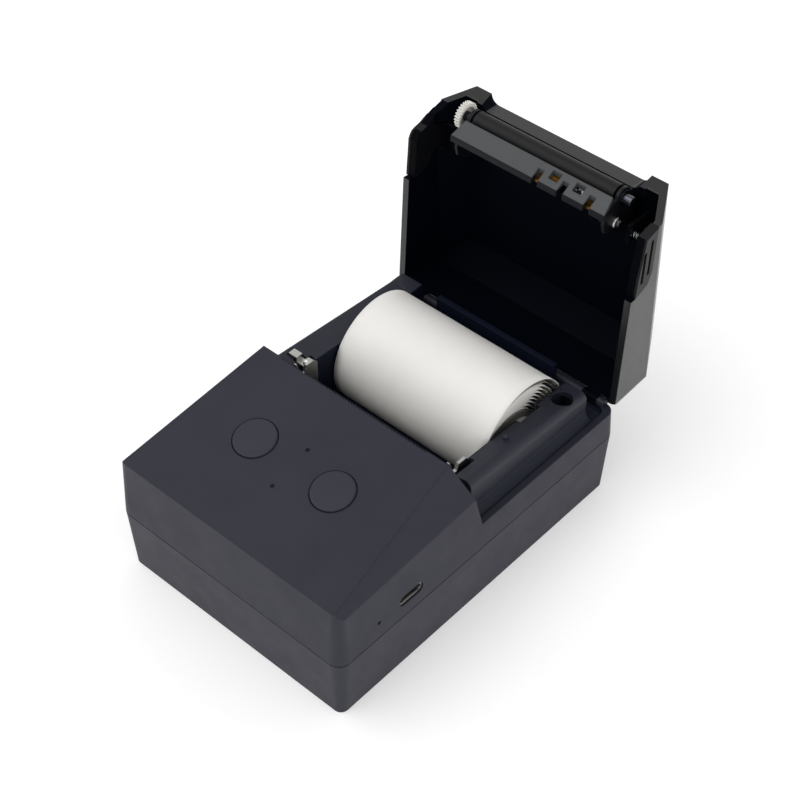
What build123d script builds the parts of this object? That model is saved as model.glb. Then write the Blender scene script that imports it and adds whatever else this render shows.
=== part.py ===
from build123d import *
import math
import os

# Portable receipt printer with a drop-in paper bay. Millimetres and degrees.
# +X is the printer's right, +Y its back, +Z up. The origin is in the middle of the footprint, on the
# rest face. The lid is built closed, then turned about its hinge pin to where it rests, wide open.

# Casing
WIDTH = 85.0
DEPTH = 117.6
CORNER_R = 3.8
INNER_CORNER_R = 2.9
WALL = 2.2
FLOOR = 2.5
SEAM_Z = 21.7
SEAM_GAP = 0.3
RIM_Z = 30.8
TALLEST_Z = 62.0
LOWER_DRAFT = 3.45
UPPER_DRAFT = 3.075

# Button panel and the cheeks beside it
PANEL_FRONT = (39.96, -57.73, 41.7)
PANEL_REAR = (34.5, -7.44, 53.7)
BEVEL_REAR = (41.4, -4.03, 42.17)
CHEEK_FOOT = (41.9, -1.46, 30.8)

# Lid
HINGE_Y = 57.57
HINGE_Z = 30.97
LID_OPEN_ANGLE = 92.8
LID_GAP = 0.3
LID_RISE = 0.077
EAR_FRONT_Y = -7.2
EAR_INNER_X = 28.8
RECESS_Y = -4.2
LIP_BOTTOM_Z = 48.9
LIP_THICKNESS = 1.6
BARREL_R = 1.6
PIN_R = 0.75
PIN_RUNNING_R = 0.8
LID_KNUCKLE_X = (31.0, 36.0)
BASE_BARREL_X = 30.7
PIN_END_X = 38.5

# Paper roll and its bay
ROLL_WIDTH = 57.0
ROLL_R = 18.6
CORE_R = 4.9
CORE_BORE_R = 4.1
ROLL_Y = 32.6
ROLL_Z = 30.5
BAY_HALF = 29.0
BAY_WALL = 1.8
CRADLE_R = 20.5
CRADLE_Z = 32.1
RISER_X = 37.2
RISER_EDGE_R = (0.5, 2.2)
LEDGE_Z = 30.5
LEDGE_THICKNESS = 2.0
BAY_FRONT_Y = -1.0
RISER_REAR_Y = 50.0
RISER_TOP_Z = (43.6, 40.0)
BAY_EDGE_Z = (41.4, 39.2)
HOOK_ROOM_X = 31.2
CRADLE_LIP_Z = 26.0

# Platen, carried by the lid; its axis when the lid is closed
PLATEN_Y = -3.9
PLATEN_Z = 43.7
ROLLER_R = 3.2
ROLLER_HALF = 25.2
SHAFT_R = 1.5
BUSHING_R = 2.4
BUSHING_BORE_R = 1.56
BRACKET_X = (26.0, 27.0)
HOOK_SLOT_R = 1.85
CLOSING_LEAN = 11.7
GUIDE_HALF = (26.3, 27.6)
GUIDE_SCREW = (2.8, 40.8)
SLOT_X = (3.2, 12.0, 21.3)
WINDOW_X = (8.0, 16.4)

# Gear train, on the left
MODULE = 0.3
PLATEN_TEETH = 26
IDLER_TEETH = 42
PINION_TEETH = 12
GEAR_X = (-31.0, -29.1)
MOTOR_Y = -20.0
MOTOR_Z = 33.0
MOTOR_R = 7.5

# Controls
BUTTON_X = 14.6
BUTTON_ALONG = 27.4
BUTTON_R = 6.4
BUTTON_GAP = 0.2
LIGHT_R = 0.55
LIGHT_ALONG = (19.1, 33.1)

# Tear bar, let in under the panel's rear edge; lengths are measured up the panel's slope
TEAR_HALF = 27.0
TEAR_TIP = 51.88
TEAR_WIDTH = 3.2
TEAR_COVER = 0.4
TEAR_THICKNESS = 0.5
TOOTH_PITCH = 1.0
TOOTH_DEPTH = 0.55
ROLLER_SWEEP_R = 67.3

# Side openings on the right
USB_Y = -30.6
USB_Z = 27.5
USB_WIDTH = 8.9
USB_HEIGHT = 3.2
RESET_Y = -43.3
RESET_Z = 27.3

BIG = 300.0

os.makedirs("parts", exist_ok=True)


def save(shape, name):
    export_step(shape, "parts/" + name + ".step")


def box(x, y, z):
    """A box between two limits on each axis."""
    size = Box(x[1] - x[0], y[1] - y[0], z[1] - z[0])
    return Pos((x[0] + x[1]) / 2, (y[0] + y[1]) / 2, (z[0] + z[1]) / 2) * size


def rod(x, y, z, radius):
    """A cylinder along X between the two limits in x."""
    turned = Rot(0, 90, 0) * Cylinder(radius, x[1] - x[0])
    return Pos((x[0] + x[1]) / 2, y, z) * turned


def post(x, y, z, radius):
    """An upright cylinder between the two limits in z."""
    return Pos(x, y, (z[0] + z[1]) / 2) * Cylinder(radius, z[1] - z[0])


def side_profile(points, x):
    """A plate with an outline of (y, z) points, between the two limits in x."""
    outline = Plane.YZ * make_face(Polyline(points, close=True))
    return Pos(x[0], 0, 0) * extrude(outline, x[1] - x[0])


def both_sides(shape):
    """The shape and its mirror image across the middle of the printer."""
    return shape + mirror(shape, Plane.YZ)


def mirrored_corner(point, side):
    return Vector(side * point[0], point[1], point[2])


def plane_through(a, b, c, outward):
    """The plane through three points, its normal on the same side as outward."""
    normal = (b - a).cross(c - a).normalized()
    if normal.dot(Vector(*outward)) < 0:
        normal = normal * -1
    return Plane(origin=a, z_dir=normal)


def beyond(plane, shift=0.0):
    """Everything on the plane's outer side, moved outwards by shift."""
    slab = Box(BIG, BIG, BIG, align=(Align.CENTER, Align.CENTER, Align.MIN))
    return plane.offset(shift) * slab


# ---------------------------------------------------------------- casing surfaces

PANEL_SLOPE = math.degrees(math.atan2(PANEL_REAR[2] - PANEL_FRONT[2], PANEL_REAR[1] - PANEL_FRONT[1]))
LID_SLOPE = math.degrees(math.atan(LID_RISE))
PANEL_PLANE = Plane(
    origin=(0, PANEL_REAR[1], PANEL_REAR[2]),
    x_dir=(1, 0, 0),
    z_dir=(0, -math.sin(math.radians(PANEL_SLOPE)), math.cos(math.radians(PANEL_SLOPE))),
)
LID_TOP_PLANE = Plane(
    origin=(0, PANEL_REAR[1], PANEL_REAR[2]),
    x_dir=(1, 0, 0),
    z_dir=(0, -math.sin(math.radians(LID_SLOPE)), math.cos(math.radians(LID_SLOPE))),
)


def panel_point(along, depth=0.0):
    """The (y, z) of a point under the panel: its way up the slope, then its depth."""
    slope = math.radians(PANEL_SLOPE)
    y = PANEL_FRONT[1] + along * math.cos(slope) + depth * math.sin(slope)
    z = PANEL_FRONT[2] + along * math.sin(slope) - depth * math.cos(slope)
    return y, z


def on_panel(x, along, shape, depth=0.0):
    """Stands a shape made on the XY plane on the sloped panel."""
    y, z = panel_point(along, depth)
    return Pos(x, y, z) * (Rot(PANEL_SLOPE, 0, 0) * shape)


def panel_bevel(side):
    a = mirrored_corner(PANEL_FRONT, side)
    b = mirrored_corner(PANEL_REAR, side)
    c = mirrored_corner(BEVEL_REAR, side)
    return plane_through(a, b, c, (side, 0, 1))


def lid_bevel(side):
    a = mirrored_corner(PANEL_REAR, side)
    b = a + Vector(0, 50, 50 * LID_RISE)
    c = mirrored_corner(BEVEL_REAR, side)
    return plane_through(a, b, c, (side, 0, 1))


def lid_rear_bevel():
    run = PANEL_REAR[1] - BEVEL_REAR[1]
    width = BEVEL_REAR[0] - PANEL_REAR[0]
    top_z = PANEL_REAR[2] + LID_RISE * (DEPTH / 2 - width - PANEL_REAR[1])
    low_z = BEVEL_REAR[2] + LID_RISE * (DEPTH / 2 - BEVEL_REAR[1])
    a = Vector(0, DEPTH / 2 - width + run / 4, top_z)
    b = Vector(10, DEPTH / 2 - width + run / 4, top_z)
    c = Vector(0, DEPTH / 2 - 1.4, low_z)
    return plane_through(a, b, c, (0, 1, 1))


def casing_block(inset=0.0, corner=CORNER_R):
    """The drafted block that the upper casing and the lid are both cut from."""
    outline = RectangleRounded(WIDTH - 2 * inset, DEPTH - 2 * inset, corner)
    return Pos(0, 0, SEAM_Z) * extrude(outline, TALLEST_Z - SEAM_Z, taper=UPPER_DRAFT)


def front_of_cheeks(gap=0.0):
    """Everything in front of the cheeks' rear edge, moved back by gap."""
    return side_profile(
        [
            (-BIG, 0),
            (CHEEK_FOOT[1] + 2.0 + gap, SEAM_Z - 5),
            (CHEEK_FOOT[1] + gap, CHEEK_FOOT[2]),
            (BEVEL_REAR[1] + gap, BEVEL_REAR[2]),
            (PANEL_REAR[1] + gap, PANEL_REAR[2]),
            (PANEL_REAR[1] + gap - 2.5, TALLEST_Z + 5),
            (-BIG, TALLEST_Z + 5),
        ],
        (-BIG / 2, BIG / 2),
    )


# ---------------------------------------------------------------- lower casing

SCREW_SPOTS = [(sx * 36.6, sy * 49.5) for sx in (-1, 1) for sy in (-1, 1)]
FOOT_SPOTS = [(sx * 33.0, sy * 38.0) for sx in (-1, 1) for sy in (-1, 1)]
SCREW_HEAD_R = 2.6
SCREW_HEAD_Z = (4.0, 6.0)
SCREW_R = 1.3
FOOT_R = 4.5
FOOT_DEPTH = 1.0
TONGUE = 1.2


def base_shell():
    """Lower casing: a drafted tray with screw posts and a tongue that enters the upper casing."""
    top = SEAM_Z - SEAM_GAP / 2
    outline = RectangleRounded(WIDTH, DEPTH, CORNER_R)
    outer = Pos(0, 0, SEAM_Z) * extrude(outline, SEAM_Z, dir=(0, 0, -1), taper=LOWER_DRAFT)
    shell = outer & box((-BIG, BIG), (-BIG, BIG), (0, top))
    hollow = RectangleRounded(WIDTH - 2 * WALL - 2.4, DEPTH - 2 * WALL - 2.4, INNER_CORNER_R)
    shell -= Pos(0, 0, FLOOR) * extrude(hollow, SEAM_Z)
    tongue = RectangleRounded(WIDTH - 2 * WALL - 0.3, DEPTH - 2 * WALL - 0.3, INNER_CORNER_R)
    ring = Pos(0, 0, top - 2.0) * extrude(tongue - hollow, 2.0 + TONGUE)
    shell += ring
    shell += both_sides(box((32.8, 34.0), (-45.0, -17.0), (FLOOR - 0.5, 9.0)))
    for x, y in SCREW_SPOTS:
        shell += post(x, y, (0.5, 18.0), SCREW_HEAD_R + 1.0)
        shell -= post(x, y, (-1.0, SCREW_HEAD_Z[1]), SCREW_HEAD_R + 0.2)
        shell -= post(x, y, (0, 19.0), SCREW_R + 0.2)
    for x, y in FOOT_SPOTS:
        shell -= post(x, y, (-1.0, FOOT_DEPTH), FOOT_R)
    return shell


def foot_pads():
    pads = [post(x, y, (0.0, FOOT_DEPTH), FOOT_R - 0.1) for x, y in FOOT_SPOTS]
    return Compound(children=pads)


def housing_screws():
    """Four cross-head screws that hold the two halves of the casing together from below."""
    screws = []
    for x, y in SCREW_SPOTS:
        screw = post(x, y, SCREW_HEAD_Z, SCREW_HEAD_R)
        screw += post(x, y, (SCREW_HEAD_Z[1], 26.0), SCREW_R)
        for turn in (0, 90):
            screw -= Pos(x, y, SCREW_HEAD_Z[0]) * (Rot(0, 0, turn) * Box(2.8, 0.7, 1.6))
        screws.append(screw)
    return Compound(children=screws)


# ---------------------------------------------------------------- upper casing

def panel_holes():
    holes = on_panel(-BUTTON_X, BUTTON_ALONG, Cylinder(BUTTON_R + BUTTON_GAP, 12))
    holes += on_panel(BUTTON_X, BUTTON_ALONG, Cylinder(BUTTON_R + BUTTON_GAP, 12))
    for along in LIGHT_ALONG:
        holes += on_panel(0, along, Cylinder(LIGHT_R + 0.05, 12))
    return holes


def tear_bar_seat():
    """The thinned strip of the panel over the tear bar, and its trimmed edge above the teeth."""
    half = TEAR_HALF + 0.1
    under = Box(2 * half, TEAR_WIDTH + 1.0, 4.0, align=(Align.CENTER, Align.MAX, Align.MAX))
    seat = on_panel(0, TEAR_TIP + 1.0, under, TEAR_COVER)
    edge = Box(2 * half, 2.0, 4.0, align=(Align.CENTER, Align.MIN, Align.CENTER))
    return seat + on_panel(0, TEAR_TIP - TOOTH_DEPTH - 0.1, edge)


def usb_shape(grow, x):
    """The rounded slot of the charging socket, grown by a margin, between the two limits in x."""
    slot = SlotOverall(USB_WIDTH + 2 * grow, USB_HEIGHT + 2 * grow)
    face = Plane(origin=(x[0], USB_Y, USB_Z), x_dir=(0, 1, 0), z_dir=(1, 0, 0)) * slot
    return extrude(face, x[1] - x[0])


def base_barrel():
    """The casing's fixed hinge barrels, with their webs down to the rear wall."""
    spans = [(-BASE_BARREL_X, BASE_BARREL_X), (36.3, PIN_END_X), (-PIN_END_X, -36.3)]
    barrel = rod(spans[0], HINGE_Y, HINGE_Z, BARREL_R)
    for span in spans:
        barrel += rod(span, HINGE_Y, HINGE_Z, BARREL_R)
        barrel += box(span, (56.4, 58.4), (28.0, HINGE_Z))
    return barrel


def upper_skin():
    """The upper casing's outer wall, open below, with the panel on top and its bevels."""
    half_x = WIDTH / 2 - WALL
    half_y = DEPTH / 2 - WALL
    outer = casing_block() - beyond(PANEL_PLANE)
    inner = casing_block(WALL, INNER_CORNER_R) - beyond(PANEL_PLANE, -WALL)
    for side in (-1, 1):
        outer -= beyond(panel_bevel(side))
        inner -= beyond(panel_bevel(side), -WALL)
    inner += box((-half_x, half_x), (-half_y, half_y), (10, SEAM_Z + 1))
    rear = box((-BIG, BIG), (-BIG, BIG), (0, RIM_Z))
    skin = (outer - inner) & (front_of_cheeks() + rear)
    return skin & box((-BIG, BIG), (-BIG, BIG), (SEAM_Z + SEAM_GAP / 2, BIG))


def knuckle_gap():
    """Room in the rear wall for the lid's right knuckle."""
    span = (LID_KNUCKLE_X[0] - 0.3, LID_KNUCKLE_X[1] + 0.3)
    return box(span, (55.0, 60.0), (HINGE_Z - BARREL_R - 0.3, RIM_Z + 1))


def roller_sweep():
    """The space that the roller and its bracket pass through under the panel's rear edge."""
    half = PANEL_REAR[0] - 0.3
    swept = rod((-half, half), HINGE_Y, HINGE_Z, ROLLER_SWEEP_R)
    return swept & box((-BIG, BIG), (-20.0, 0.0), (45.0, BIG))


def right_hinge_pin():
    return rod((24.0, PIN_END_X - 0.5), HINGE_Y, HINGE_Z, PIN_R)


def hinge_pins():
    right = right_hinge_pin()
    return Compound(children=[mirror(right, Plane.YZ), right])


def upper_housing():
    """Upper casing: the sloped button panel, the cheeks, and the low walls round the paper bay."""
    shell = upper_skin()
    for x, y in SCREW_SPOTS:
        shell += post(x, y, (SEAM_Z + 0.5, 28.3), SCREW_R + 1.4)
    for y in (-49.5, 49.5):
        shell += both_sides(box((36.6, 40.6), (y - 0.5, y + 0.5), (23.0, 28.3)))
    for x, y in SCREW_SPOTS:
        shell -= post(x, y, (SEAM_Z - 1, 26.0), SCREW_R)
    shell -= both_sides(knuckle_gap())
    shell += base_barrel()
    shell -= both_sides(right_hinge_pin())
    shell -= panel_holes()
    shell -= tear_bar_seat()
    shell -= roller_sweep()
    shell -= usb_shape(0.15, (38.0, 45.0))
    shell -= rod((36.0, 45.0), RESET_Y, RESET_Z, LIGHT_R + 0.05)
    return shell


def tear_bar():
    """Serrated steel strip under the panel's rear edge."""
    root = TEAR_TIP - TOOTH_DEPTH
    points = [(-TEAR_HALF, TEAR_TIP - TEAR_WIDTH), (TEAR_HALF, TEAR_TIP - TEAR_WIDTH)]
    for i in range(int(2 * TEAR_HALF / TOOTH_PITCH)):
        x = TEAR_HALF - i * TOOTH_PITCH
        points += [(x, root), (x - TOOTH_PITCH / 2, TEAR_TIP)]
    points.append((-TEAR_HALF, root))
    strip = extrude(make_face(Polyline(points, close=True)), -TEAR_THICKNESS)
    return on_panel(0, 0, strip, TEAR_COVER)


# ---------------------------------------------------------------- paper bay and roll

def bay_section(y, riser_top, edge_top):
    """Cross-section of the riser band, from the ledge up, at one place along the printer."""
    bottom = LEDGE_Z - LEDGE_THICKNESS
    points = [
        (-RISER_X, bottom),
        (RISER_X, bottom),
        (RISER_X, riser_top),
        (BAY_HALF, edge_top),
        (-BAY_HALF, edge_top),
        (-RISER_X, riser_top),
    ]
    face = make_face(Polyline(points, close=True))
    for corner_x, radius in zip((-RISER_X, RISER_X), RISER_EDGE_R):
        corner = [v for v in face.vertices() if abs(v.X - corner_x) < 0.01 and v.Y > bottom + 1]
        face = fillet(corner, radius)
    return Plane(origin=(0, y, 0), x_dir=(1, 0, 0), z_dir=(0, -1, 0)) * face


def riser_hollow(y, riser_top, edge_top):
    """Cross-section of the space inside the right riser, open underneath."""
    points = [
        (BAY_HALF + BAY_WALL, 20.0),
        (RISER_X - BAY_WALL, 20.0),
        (RISER_X - BAY_WALL, riser_top - 2.4),
        (BAY_HALF + BAY_WALL, edge_top - 1.6),
    ]
    face = make_face(Polyline(points, close=True))
    return Plane(origin=(0, y, 0), x_dir=(1, 0, 0), z_dir=(0, -1, 0)) * face


def risers():
    """The raised bands on both sides of the roll, hollow inside."""
    ends = (BAY_FRONT_Y, RISER_REAR_Y)
    solid = [bay_section(y, RISER_TOP_Z[i], BAY_EDGE_Z[i]) for i, y in enumerate(ends)]
    ends = (BAY_FRONT_Y + BAY_WALL, RISER_REAR_Y - BAY_WALL)
    space = [riser_hollow(y, RISER_TOP_Z[i], BAY_EDGE_Z[i]) for i, y in enumerate(ends)]
    return loft(solid, ruled=True) - both_sides(loft(space, ruled=True))


def bay_ledge():
    """The flange under the risers that closes the casing's top, cut where the risers are hollow."""
    z = (LEDGE_Z - LEDGE_THICKNESS, LEDGE_Z)
    ledge = box((-39.6, 39.6), (BAY_FRONT_Y + 1.0, 55.6), z)
    ledge -= both_sides(box((BAY_HALF + BAY_WALL, RISER_X - BAY_WALL), (1.8, 48.2), z))
    return ledge & casing_block(WALL + 0.2, INNER_CORNER_R)


def riser_cove():
    """The hollow curve at the right riser's foot."""
    radius = 3.0
    y = (BAY_FRONT_Y + 1.0, RISER_REAR_Y)
    cove = box((RISER_X - 0.5, RISER_X + radius), y, (LEDGE_Z - 0.1, LEDGE_Z + radius))
    cove -= Pos(RISER_X + radius, 25, LEDGE_Z + radius) * (Rot(90, 0, 0) * Cylinder(radius, 120))
    return cove & box((0, 39.6), (-BIG, BIG), (0, BIG))


def bay_cavity():
    """The space for the roll, and the way out to the roller and past the hooks."""
    cavity = rod((-BAY_HALF, BAY_HALF), ROLL_Y, CRADLE_Z, CRADLE_R)
    cavity += box((-BAY_HALF, BAY_HALF), (ROLL_Y - CRADLE_R, 53.1), (CRADLE_Z, 60.0))
    cavity += box((-BAY_HALF, BAY_HALF), (-5.0, 10.3), (0.0, 60.0))
    cavity += box((-BAY_HALF, BAY_HALF), (-5.0, 14.0), (CRADLE_LIP_Z, 60.0))
    cavity += box((-HOOK_ROOM_X, HOOK_ROOM_X), (-5.0, 7.6), (0.0, 60.0))
    cavity += box((-35.8, -HOOK_ROOM_X), (2.2, 5.8), (42.1, 60.0))
    return cavity + box((-33.3, -HOOK_ROOM_X), (2.2, 5.8), (40.6, 60.0))


def paper_bay():
    """Drop-in paper bay: ledge, risers with sloped tops, and the round cradle under the roll."""
    half = BAY_HALF + BAY_WALL
    bottom = LEDGE_Z - LEDGE_THICKNESS
    bay = risers() + bay_ledge() + both_sides(riser_cove())
    bay += box((-RISER_X, -BAY_HALF), (RISER_REAR_Y - 1.0, 54.0), (bottom, RISER_TOP_Z[1] - 0.2))
    cradle = rod((-half, half), ROLL_Y, CRADLE_Z, CRADLE_R + BAY_WALL)
    bay += cradle & box((-BIG, BIG), (-BIG, BIG), (0, LEDGE_Z))
    bay += box((-half, half), (53.1, 54.9), (bottom, 33.0))
    bay += box((-22.5, 22.5), (53.1, 54.9), (bottom, 39.0))
    bay -= bay_cavity()
    bay -= post(33.1, 43.7, (30.0, 50.0), 3.2)
    bay -= box((BAY_HALF - 0.1, BAY_HALF + 1.5), (28.0, 37.0), (37.4, 50.0))
    bay += post(32.2, 19.5, (38.5, 42.5), 0.75)
    for x, y in SCREW_SPOTS:
        bay -= post(x, y, (20.0, 29.2), SCREW_R + 1.8)
    return bay


def paper_roll():
    roll = rod((-ROLL_WIDTH / 2, ROLL_WIDTH / 2), ROLL_Y, ROLL_Z, ROLL_R)
    return roll - rod((-ROLL_WIDTH / 2, ROLL_WIDTH / 2), ROLL_Y, ROLL_Z, CORE_R)


def paper_core():
    core = rod((-ROLL_WIDTH / 2, ROLL_WIDTH / 2), ROLL_Y, ROLL_Z, CORE_R)
    return core - rod((-ROLL_WIDTH / 2, ROLL_WIDTH / 2), ROLL_Y, ROLL_Z, CORE_BORE_R)


# ---------------------------------------------------------------- gears

TRAIN_ANGLE = math.degrees(math.atan2(MOTOR_Z - PLATEN_Z, MOTOR_Y - PLATEN_Y))
PLATEN_TO_IDLER = MODULE * (PLATEN_TEETH + IDLER_TEETH) / 2
IDLER_TO_PINION = MODULE * (IDLER_TEETH + PINION_TEETH) / 2


def on_train(distance):
    """A gear's (y, z), on the line from the closed platen's axis to the motor."""
    turn = math.radians(TRAIN_ANGLE)
    return PLATEN_Y + distance * math.cos(turn), PLATEN_Z + distance * math.sin(turn)


IDLER = on_train(PLATEN_TO_IDLER)
PINION = on_train(PLATEN_TO_IDLER + IDLER_TO_PINION)


def involute(angle):
    return math.tan(angle) - angle


def gear_outline(teeth):
    """Involute outline with a tooth centred on the +X direction, thinned for backlash."""
    pressure = math.radians(20)
    pitch_r = MODULE * teeth / 2
    root_r = pitch_r - 1.25 * MODULE
    tip_r = pitch_r + 0.95 * MODULE
    base_r = max(pitch_r * math.cos(pressure), root_r)
    half_at_pitch = math.pi / (2 * teeth) - 0.035 / pitch_r
    flank = []
    for i in range(5):
        r = base_r + (tip_r - base_r) * i / 4
        turned = math.acos(min(1.0, pitch_r * math.cos(pressure) / r))
        flank.append((r, half_at_pitch + involute(pressure) - involute(turned)))
    if root_r < base_r:
        flank.insert(0, (root_r, flank[0][1]))
    points = []
    for n in range(teeth):
        middle = 2 * math.pi * n / teeth
        for r, half in flank:
            points.append((r * math.cos(middle - half), r * math.sin(middle - half)))
        for r, half in reversed(flank):
            points.append((r * math.cos(middle + half), r * math.sin(middle + half)))
    return points


def spur_gear(teeth, y, z, x, tooth_towards, bore):
    """A spur gear about an axis along X, with a tooth pointing at the given angle from +Y."""
    turn = math.radians(tooth_towards)
    cos, sin = math.cos(turn), math.sin(turn)
    outline = [(y + u * cos - v * sin, z + u * sin + v * cos) for u, v in gear_outline(teeth)]
    return side_profile(outline, x) - rod(x, y, z, bore)


def platen_gear():
    gear = spur_gear(PLATEN_TEETH, PLATEN_Y, PLATEN_Z, GEAR_X, TRAIN_ANGLE, SHAFT_R)
    return gear - rod((GEAR_X[1] - 0.8, GEAR_X[1]), PLATEN_Y, PLATEN_Z, 2.9)


def output_gear():
    """The idler between the motor pinion and the platen, with a space facing the platen."""
    phase = TRAIN_ANGLE + 180 + 180 / IDLER_TEETH
    gear = spur_gear(IDLER_TEETH, *IDLER, GEAR_X, phase, 0.85)
    groove = rod((GEAR_X[0], GEAR_X[0] + 0.6), *IDLER, 5.0)
    return gear - (groove - rod(GEAR_X, *IDLER, 1.8))


def idler_faces_pinion_with_tooth():
    """True where the idler's tooth count and phase put a tooth on the line to the pinion."""
    steps = (180 - 180 / IDLER_TEETH) / (360 / IDLER_TEETH)
    return abs(steps - round(steps)) < 0.01


def motor_pinion():
    phase = TRAIN_ANGLE + 180
    if idler_faces_pinion_with_tooth():
        phase += 180 / PINION_TEETH
    gear = spur_gear(PINION_TEETH, *PINION, GEAR_X, phase, 0.75)
    return gear + rod((-31.6, -27.95), *PINION, 0.75)


def gear_post():
    pin = rod((-31.5, -28.0), *IDLER, 0.8)
    return pin + rod((-31.9, -31.2), *IDLER, 1.5)


# ---------------------------------------------------------------- print mechanism in the base

def hook_plate(x, front_y, outline_top):
    """Steel side plate with the open slot that the platen's bushing drops into."""
    points = [
        (front_y, 25.4),
        (7.0, 25.4),
        (7.0, 41.5),
        (5.5, 43.0),
        (2.6, 43.0),
        (1.6, 41.0),
        (0.2, 41.0),
        (-1.2, 46.0),
        (-9.8, 46.0),
        (front_y, outline_top),
    ]
    plate = side_profile(points, x)
    plate -= rod(x, PLATEN_Y, PLATEN_Z, HOOK_SLOT_R)
    slot = Box(x[1] - x[0] + 1, 2 * HOOK_SLOT_R, 20, align=(Align.CENTER, Align.CENTER, Align.MIN))
    return plate - Pos((x[0] + x[1]) / 2, PLATEN_Y, PLATEN_Z) * (Rot(-CLOSING_LEAN, 0, 0) * slot)


def left_hook_plate():
    """Left side plate, with a guide lobe inside the bay and a tab bent out over the riser."""
    x = (-28.9, -28.0)
    plate = hook_plate(x, -28.0, 38.0)
    plate -= rod(x, *PINION, 1.2)
    plate -= rod(x, *IDLER, 0.8)
    plate += box((-30.2, -28.9), (3.1, 6.5), (30.0, 41.2)) + rod((-30.2, -28.9), 4.8, 41.2, 1.7)
    plate += box((-32.9, -28.9), (2.8, 5.2), (40.9, 41.7))
    plate += box((-32.9, -32.2), (2.8, 5.2), (40.9, 43.3))
    return plate + box((-35.4, -32.2), (2.8, 5.2), (42.5, 43.3))


def right_hook_plate():
    return hook_plate((28.8, 29.8), -16.0, 43.0)


def mechanism_frame():
    """Moulded bed that carries the head, the motor and the hook plates, with the paper ramp."""
    frame = box((-28.0, 28.8), (-28.0, 7.0), (23.0, 25.4))
    frame += box((-12.0, 28.8), (-18.6, -17.0), (25.4, 43.0))
    ramp = [(-2.0, 25.4), (7.0, 25.4), (7.0, 32.6), (4.0, 33.0), (-1.0, 30.5)]
    frame += side_profile(ramp, (-28.0, 28.8))
    for x in (-20.0, 20.0):
        frame += post(x, 2.5, (17.0, 23.0), 2.6)
        frame -= post(x, 2.5, (16.0, 24.0), 1.0)
    for x in (-4.0, 18.0):
        frame -= Pos(x, -17.0, 41.0) * (Rot(90, 0, 0) * Cylinder(1.9, 1.0))
    return frame


def thermal_head():
    """Ceramic head with its raised heater line facing the roller."""
    head = box((-25.0, 25.0), (-8.2, -7.7), (38.0, 48.0))
    return head + box((-24.0, 24.0), (-7.7, -7.5), (43.2, 44.2))


def heat_sink():
    sink = box((-25.5, 25.5), (-10.1, -8.2), (34.5, 48.3))
    return sink + both_sides(rod((25.5, 28.0), -9.1, 35.8, 0.9))


def head_springs():
    """Two coil springs that press the head at the roller."""
    springs = []
    for x in (-4.0, 18.0):
        coil = Helix(pitch=1.5, height=6.2, radius=1.4)
        section = Plane(origin=coil @ 0, z_dir=coil % 0) * Circle(0.2)
        spring = sweep(section, path=coil)
        springs.append(Pos(x, -10.35, 41.0) * (Rot(90, 0, 0) * spring))
    return Compound(children=springs)


def stepper_motor():
    motor = rod((-27.9, -14.0), *PINION, MOTOR_R)
    motor += rod((-14.0, -13.2), *PINION, 3.0)
    return motor + box((-27.9, -27.1), (-29.5, -12.3), (31.5, 34.5))


# ---------------------------------------------------------------- electronics

BOARD_Z = (24.2, 25.8)


def main_board():
    board = box((-37.0, 37.0), (-54.0, -28.4), BOARD_Z)
    for x, y in SCREW_SPOTS:
        board -= post(x, y, BOARD_Z, 3.2)
    return board


def board_chips():
    chips = [
        box((-12.0, -2.0), (-47.0, -37.0), (BOARD_Z[1], 27.0)),
        box((8.0, 13.0), (-42.0, -37.0), (BOARD_Z[1], 26.8)),
        box((-28.0, -20.0), (-38.0, -32.0), (BOARD_Z[1], 29.5)),
        box((16.0, 24.0), (-52.0, -46.0), (BOARD_Z[1], 28.8)),
        box((-2.0, 10.0), (-33.0, -29.4), (BOARD_Z[1], 28.0)),
    ]
    return Compound(children=chips)


def usb_socket():
    """USB-C receptacle: the metal shell with its tongue inside."""
    tail = USB_Z - USB_HEIGHT / 2
    socket = usb_shape(0.0, (34.4, 41.75)) - usb_shape(-0.35, (35.4, 45.0))
    socket += box((35.4, 40.9), (USB_Y - 3.2, USB_Y + 3.2), (USB_Z - 0.35, USB_Z + 0.35))
    return socket + box((34.4, 36.8), (USB_Y - 3.0, USB_Y + 3.0), (BOARD_Z[1], tail + 0.2))


def side_light_pipe():
    pipe = rod((36.0, 41.6), RESET_Y, RESET_Z, LIGHT_R)
    return pipe + box((34.6, 36.4), (RESET_Y - 1.2, RESET_Y + 1.2), (BOARD_Z[1], RESET_Z + 1.0))


def battery_cells():
    cells = []
    for y in (-44.4, -26.2):
        cell = rod((-32.6, 31.6), y, 11.8, 9.05)
        cells.append(cell + rod((31.6, 32.6), y, 11.8, 3.0))
    return Compound(children=cells)


PANEL_BOARD_DEPTH = 7.2


def button_board():
    return on_panel(0, 27.0, Box(52.0, 20.0, 1.0), PANEL_BOARD_DEPTH + 0.5)


def tact_switches():
    switches = []
    for x in (-BUTTON_X, BUTTON_X):
        body = on_panel(x, BUTTON_ALONG, Box(6.0, 6.0, 2.0), PANEL_BOARD_DEPTH - 1.0)
        body += on_panel(x, BUTTON_ALONG, Cylinder(1.6, 0.8), PANEL_BOARD_DEPTH - 2.4)
        switches.append(body)
    return Compound(children=switches)


def light_pipes():
    pipes = []
    for along in LIGHT_ALONG:
        length = PANEL_BOARD_DEPTH - 0.1
        pipes.append(on_panel(0, along, Cylinder(LIGHT_R, length), 0.1 + length / 2))
    return Compound(children=pipes)


def panel_board_posts():
    """Four posts between the panel and the button board."""
    posts = []
    for x in (-23.5, 23.5):
        for along in (19.0, 35.0):
            length = PANEL_BOARD_DEPTH - WALL
            posts.append(on_panel(x, along, Cylinder(1.8, length), WALL + length / 2))
    return Compound(children=posts)


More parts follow.
